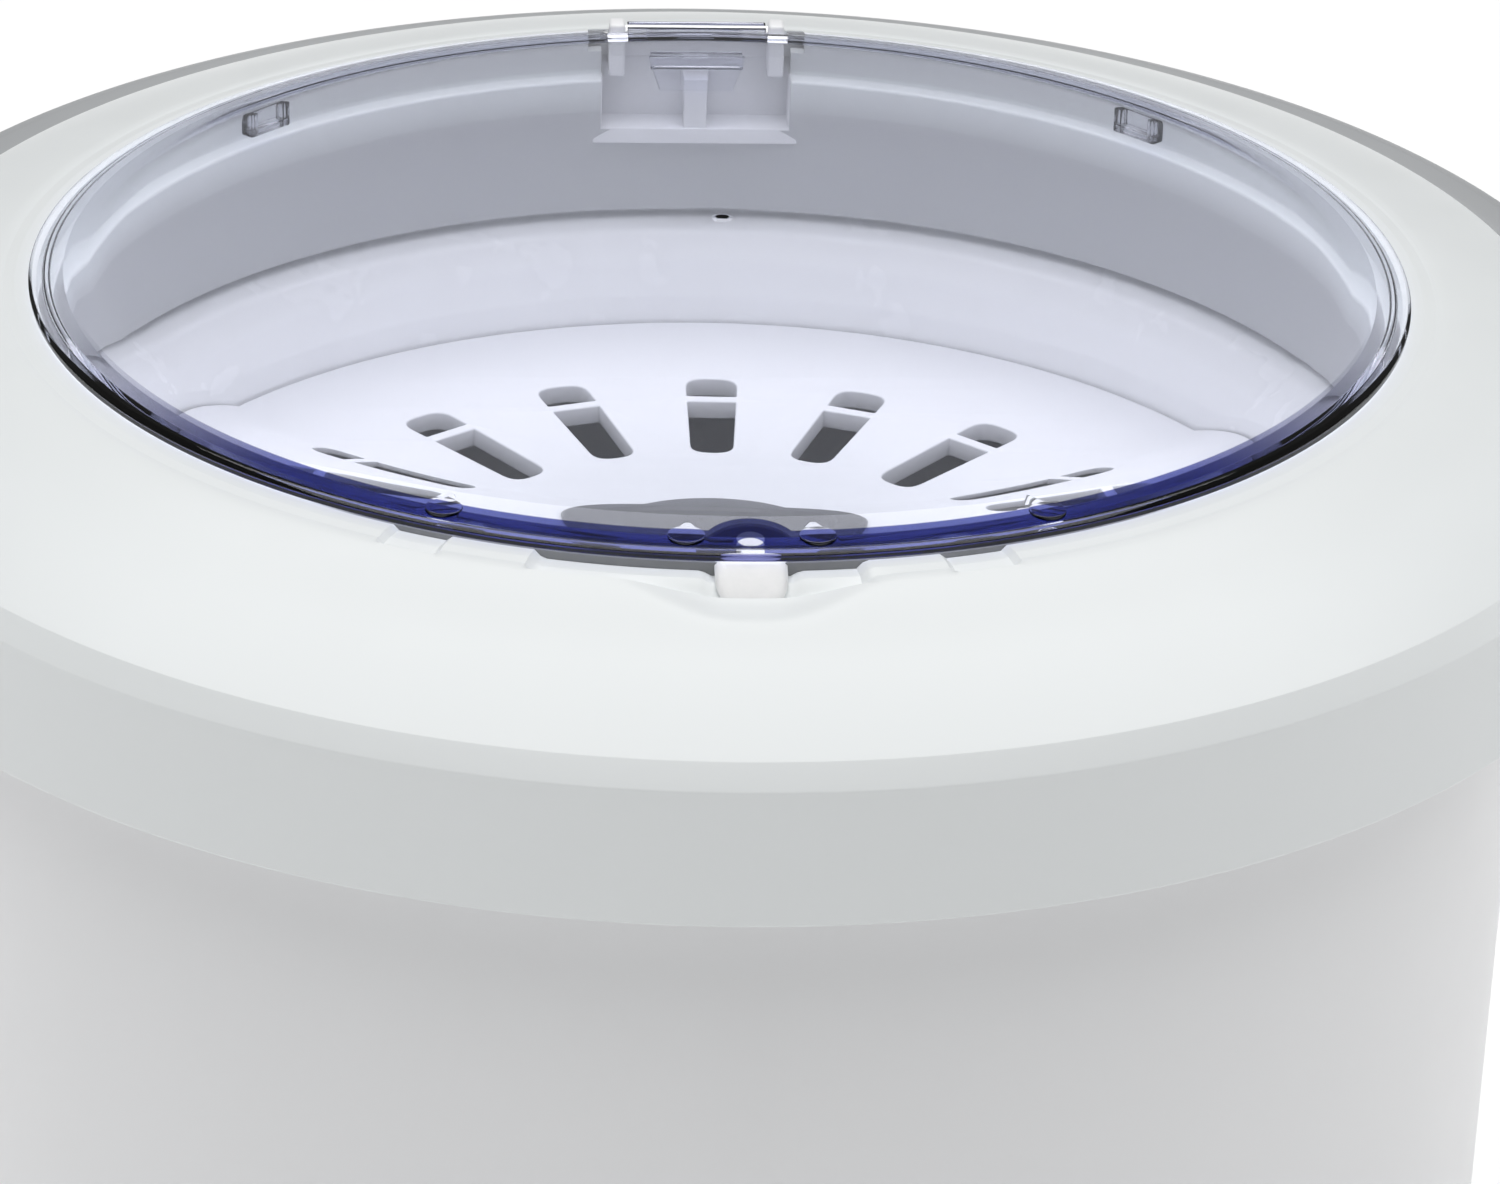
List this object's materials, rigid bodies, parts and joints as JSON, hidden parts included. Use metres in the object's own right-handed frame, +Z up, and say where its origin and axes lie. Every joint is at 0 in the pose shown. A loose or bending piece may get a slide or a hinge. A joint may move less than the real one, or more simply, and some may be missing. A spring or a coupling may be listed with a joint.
{
  "type": "portable mini washer",
  "caption": "Round portable tub washer with a domed clear hinged lid, a slotted drain plate, a fold-flat bail handle and a belt-driven pulsator.",
  "frame": {"origin": "on the floor, under the centre of the round body", "axes": "+Z up; -Y towards the front, where the finger tab and the timer knob are; +Y towards the lid's hinge; +X to the right as seen from the front"},
  "size_m": [0.3694, 0.3694, 0.466],
  "materials": {
    "cover_plastic": "smooth white moulded plastic, satin gloss",
    "body_plastic": "fine-grained off-white moulded plastic",
    "tub_plastic": "smooth white moulded polypropylene",
    "grey_plastic": "light grey moulded plastic",
    "dark_plastic": "dark grey moulded plastic",
    "clear_plastic": "clear polystyrene with a faint blue tint, polished",
    "frosted_plastic": "frosted white translucent plastic",
    "bright_steel": "bright turned steel",
    "plated_steel": "zinc-plated sheet steel",
    "cast_metal": "cast and machined aluminium",
    "capacitor_can": "drawn aluminium can",
    "black_rubber": "black moulded rubber",
    "hub_plastic": "dark grey moulded plastic"
  },
  "bodies": {
    "housing": {"body_shell": "body_plastic", "base_pan": "dark_plastic", "foot_front_left": "black_rubber", "foot_front_right": "black_rubber", "foot_rear_left": "black_rubber", "foot_rear_right": "black_rubber", "base_screw_1": "bright_steel", "base_screw_2": "bright_steel", "base_screw_3": "bright_steel", "cover_screw_1": "bright_steel", "cover_screw_2": "bright_steel", "cover_screw_3": "bright_steel", "cover_screw_4": "bright_steel", "housing_screw_1": "bright_steel", "housing_screw_2": "bright_steel", "housing_screw_3": "bright_steel", "mount_screw_1": "bright_steel", "mount_screw_2": "bright_steel", "mount_screw_3": "bright_steel", "mount_screw_4": "bright_steel", "motor_screw_left": "bright_steel", "motor_screw_right": "bright_steel", "top_cover": "cover_plastic", "hinge_pin": "bright_steel", "handle_pin_left": "bright_steel", "handle_pin_right": "bright_steel", "wash_tub": "tub_plastic", "shaft_seal": "black_rubber", "bearing_housing": "cast_metal", "upper_bearing": "bright_steel", "lower_bearing": "bright_steel", "drive_belt": "black_rubber", "motor_bracket": "plated_steel", "motor_housing": "cast_metal", "motor_damper_1": "black_rubber", "motor_damper_2": "black_rubber", "motor_damper_3": "black_rubber", "motor_damper_4": "black_rubber", "capacitor": "capacitor_can", "control_panel": "grey_plastic", "timer_unit": "dark_plastic", "drain_pipe": "grey_plastic", "cord_gland": "black_rubber"},
    "lid": {"lid": "clear_plastic", "lid_finger_tab": "frosted_plastic", "lid_clip_left": "clear_plastic", "lid_clip_right": "clear_plastic"},
    "handle": {"carry_handle": "grey_plastic"},
    "drain_plate": {"drain_plate": "tub_plastic", "plate_hub": "hub_plastic"},
    "pulsator": {"pulsator": "tub_plastic", "pulsator_screw": "bright_steel", "drive_shaft": "bright_steel", "large_pulley": "cast_metal", "pulley_nut": "bright_steel"},
    "motor_rotor": {"motor_shaft": "bright_steel", "motor_pulley": "cast_metal"},
    "timer_knob": {"timer_knob": "cover_plastic", "timer_shaft": "bright_steel"},
    "drain_cap": {"drain_cap": "dark_plastic"}
  },
  "joints": [
    {"name": "lid_hinge", "type": "hinge", "parent": "housing", "child": "lid", "pos_m": [0, 0.133, 0.455], "axis": [-1, 0, 0], "range_deg": [0, 100]},
    {"name": "handle_swing", "type": "hinge", "parent": "housing", "child": "handle", "pos_m": [0, 0, 0.43775], "axis": [1, 0, 0], "range_deg": [0, 90]},
    {"name": "plate_lift", "type": "slide", "parent": "housing", "child": "drain_plate", "axis": [0, 0, 1], "range_m": [0, 0.04]},
    {"name": "pulsator_spin", "type": "hinge", "parent": "housing", "child": "pulsator", "pos_m": [0, 0, 0.19], "axis": [0, 0, 1], "continuous": true},
    {"name": "motor_spin", "type": "hinge", "parent": "housing", "child": "motor_rotor", "pos_m": [0, 0.092, 0.09], "axis": [0, 0, 1], "continuous": true},
    {"name": "timer_turn", "type": "hinge", "parent": "housing", "child": "timer_knob", "pos_m": [0, -0.165, 0.23], "axis": [0, 1, 0], "range_deg": [0, 330]},
    {"name": "drain_cap_pull", "type": "slide", "parent": "housing", "child": "drain_cap", "axis": [-1, 0, 0], "range_m": [0, 0.03]}
  ],
  "couplings": [
    {"joint": "motor_spin", "follows": "pulsator_spin", "ratio": 4}
  ]
}
